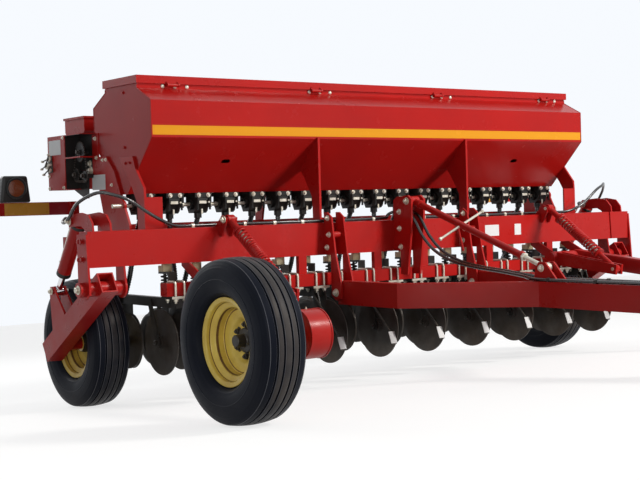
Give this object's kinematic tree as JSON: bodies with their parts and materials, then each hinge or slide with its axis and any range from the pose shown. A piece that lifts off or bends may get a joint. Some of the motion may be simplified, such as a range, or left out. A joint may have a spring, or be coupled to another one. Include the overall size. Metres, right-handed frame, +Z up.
{
  "type": "seed drill",
  "caption": "Pull-type seed drill with a long grain box on a tube frame, disc openers, a forked hitch with a turnbuckle and four ribbed-tyre wheels on lift arms.",
  "frame": {"origin": "on the ground at the middle of the machine's length and width", "axes": "+X to the machine's left, -Y forward along the tongue, +Z up"},
  "size_m": [4.793, 4.3661, 1.9708],
  "materials": {
    "red_paint": "weathered gloss enamel",
    "black_paint": "dull black paint",
    "board_steel": "weathered galvanised",
    "bare_steel": "soil-polished steel",
    "zinc": "zinc plated",
    "chrome_rod": "ground and plated",
    "seed_rubber": "ribbed rubber",
    "press_rubber": "dusty rubber",
    "tyre_rubber": "used ribbed tyre",
    "rim_paint": "chalky mustard enamel",
    "lamp_plastic": "black lamp housing with amber lens"
  },
  "bodies": {
    "frame": {"main_tube": "red_paint", "tube_plates": "red_paint", "toolbar": "red_paint", "side_members": "red_paint", "rear_tube": "red_paint", "box_beam": "red_paint", "box_saddles": "red_paint", "end_legs": "red_paint", "hopper": "red_paint", "hopper_ends": "red_paint", "lid_hinges": "red_paint", "feed_cups": "black_paint", "feed_shaft": "zinc", "seed_tubes": "seed_rubber", "small_box": "red_paint", "drive_case": "red_paint", "drive_sprockets": "zinc", "walkboard": "board_steel", "light_bars": "red_paint", "lamps": "lamp_plastic", "opener_clamps": "black_paint", "opener_beams": "black_paint", "opener_springs": "black_paint", "disc_blades": "bare_steel", "front_arms": "red_paint", "front_struts": "red_paint", "hitch_brackets": "red_paint", "frame_hoses": "red_paint"},
    "lid": {"lid": "red_paint"},
    "small_lid": {"small_box_lid": "red_paint"},
    "hitch": {"hitch_legs": "red_paint", "tongue": "red_paint", "jack_tube": "black_paint", "hitch_hoses": "red_paint"},
    "jack": {"jack_leg": "bare_steel"},
    "turnbuckle": {"turnbuckle_tube": "red_paint"},
    "turnbuckle_rod": {"turnbuckle_screw": "zinc"},
    "arm_right": {"lift_arm_right": "red_paint"},
    "arm_left": {"lift_arm_left": "red_paint"},
    "cylinder_right": {"lift_barrel_right": "red_paint"},
    "cylinder_left": {"lift_barrel_left": "red_paint"},
    "piston_right": {"lift_rod_right": "chrome_rod"},
    "piston_left": {"lift_rod_left": "chrome_rod"},
    "wheel_front_right": {"rim_front_right": "rim_paint", "tyre_front_right": "tyre_rubber"},
    "wheel_front_left": {"rim_front_left": "rim_paint", "tyre_front_left": "tyre_rubber"},
    "wheel_rear_right": {"rim_rear_right": "rim_paint", "tyre_rear_right": "tyre_rubber"},
    "wheel_rear_left": {"rim_rear_left": "rim_paint", "tyre_rear_left": "tyre_rubber"},
    "coulter_set_front": {"coulters_front": "bare_steel"},
    "coulter_set_rear": {"coulters_rear": "bare_steel"},
    "press_set_front": {"press_wheels_front": "press_rubber"},
    "press_set_rear": {"press_wheels_rear": "press_rubber"}
  },
  "joints": [
    {"name": "lid_hinge", "type": "hinge", "parent": "frame", "child": "lid", "pos_m": [0, 0.79038, 1.87969], "axis": [1, 0, 0], "range_deg": [0, 100]},
    {"name": "small_lid_hinge", "type": "hinge", "parent": "frame", "child": "small_lid", "pos_m": [0, 1.51103, 1.78266], "axis": [1, 0, 0], "range_deg": [0, 95]},
    {"name": "hitch_hinge", "type": "hinge", "parent": "frame", "child": "hitch", "pos_m": [0, 0.61038, 0.56954], "axis": [-1, 0, 0], "range_deg": [-5, 6]},
    {"name": "turnbuckle_hinge", "type": "hinge", "parent": "frame", "child": "turnbuckle", "pos_m": [0, 0.5384, 1.12797], "axis": [-1, 0, 0], "range_deg": [-4.4, 5.3]},
    {"name": "turnbuckle_screw_slide", "type": "slide", "parent": "turnbuckle", "child": "turnbuckle_rod", "axis": [0, -0.9105, -0.4136], "range_m": [-0.057, 0.048]},
    {"name": "jack_slide", "type": "slide", "parent": "hitch", "child": "jack", "axis": [0, 0, 1], "range_m": [0, 0.22]},
    {"name": "lift_right", "type": "hinge", "parent": "frame", "child": "arm_right", "pos_m": [-2.186, 0.74321, 0.6966], "axis": [-1, 0, 0], "range_deg": [-10, 10]},
    {"name": "lift_left", "type": "hinge", "parent": "frame", "child": "arm_left", "pos_m": [2.186, 0.74321, 0.6966], "axis": [-1, 0, 0], "range_deg": [-10, 10]},
    {"name": "cylinder_hinge_right", "type": "hinge", "parent": "frame", "child": "cylinder_right", "pos_m": [-2.186, 0.96128, 1.09926], "axis": [-1, 0, 0], "range_deg": [-7.5, 7.5]},
    {"name": "cylinder_hinge_left", "type": "hinge", "parent": "frame", "child": "cylinder_left", "pos_m": [2.186, 0.96128, 1.09926], "axis": [-1, 0, 0], "range_deg": [-7.5, 7.5]},
    {"name": "piston_slide_right", "type": "slide", "parent": "cylinder_right", "child": "piston_right", "axis": [0, 0.6708, -0.7416], "range_m": [-0.078, 0.078]},
    {"name": "piston_slide_left", "type": "slide", "parent": "cylinder_left", "child": "piston_left", "axis": [0, 0.6708, -0.7416], "range_m": [-0.078, 0.078]},
    {"name": "wheel_spin_front_right", "type": "hinge", "parent": "frame", "child": "wheel_front_right", "pos_m": [-2.276, -0.77433, 0.3885], "axis": [1, 0, 0], "continuous": true},
    {"name": "wheel_spin_front_left", "type": "hinge", "parent": "frame", "child": "wheel_front_left", "pos_m": [2.276, -0.77433, 0.3885], "axis": [1, 0, 0], "continuous": true},
    {"name": "wheel_spin_rear_right", "type": "hinge", "parent": "arm_right", "child": "wheel_rear_right", "pos_m": [-2.004, 1.36919, 0.3885], "axis": [1, 0, 0], "continuous": true},
    {"name": "wheel_spin_rear_left", "type": "hinge", "parent": "arm_left", "child": "wheel_rear_left", "pos_m": [2.004, 1.36919, 0.3885], "axis": [1, 0, 0], "continuous": true},
    {"name": "coulter_spin_front", "type": "hinge", "parent": "frame", "child": "coulter_set_front", "pos_m": [0, 0.63017, 0.33387], "axis": [1, 0, 0], "continuous": true},
    {"name": "coulter_spin_rear", "type": "hinge", "parent": "frame", "child": "coulter_set_rear", "pos_m": [0, 0.92912, 0.35897], "axis": [1, 0, 0], "continuous": true},
    {"name": "press_spin_front", "type": "hinge", "parent": "frame", "child": "press_set_front", "pos_m": [0, 1.37863, 0.37163], "axis": [1, 0, 0], "continuous": true},
    {"name": "press_spin_rear", "type": "hinge", "parent": "frame", "child": "press_set_rear", "pos_m": [0, 1.67758, 0.39673], "axis": [1, 0, 0], "continuous": true}
  ],
  "couplings": [
    {"joint": "turnbuckle_hinge", "follows": "hitch_hinge", "ratio": 0.869},
    {"joint": "turnbuckle_screw_slide", "follows": "hitch_hinge", "m_per_rad": -0.539},
    {"joint": "lift_left", "follows": "lift_right", "ratio": 1},
    {"joint": "cylinder_hinge_right", "follows": "lift_right", "ratio": 0.714},
    {"joint": "cylinder_hinge_left", "follows": "lift_right", "ratio": 0.714},
    {"joint": "piston_slide_right", "follows": "lift_right", "m_per_rad": 0.431},
    {"joint": "piston_slide_left", "follows": "lift_right", "m_per_rad": 0.431}
  ]
}
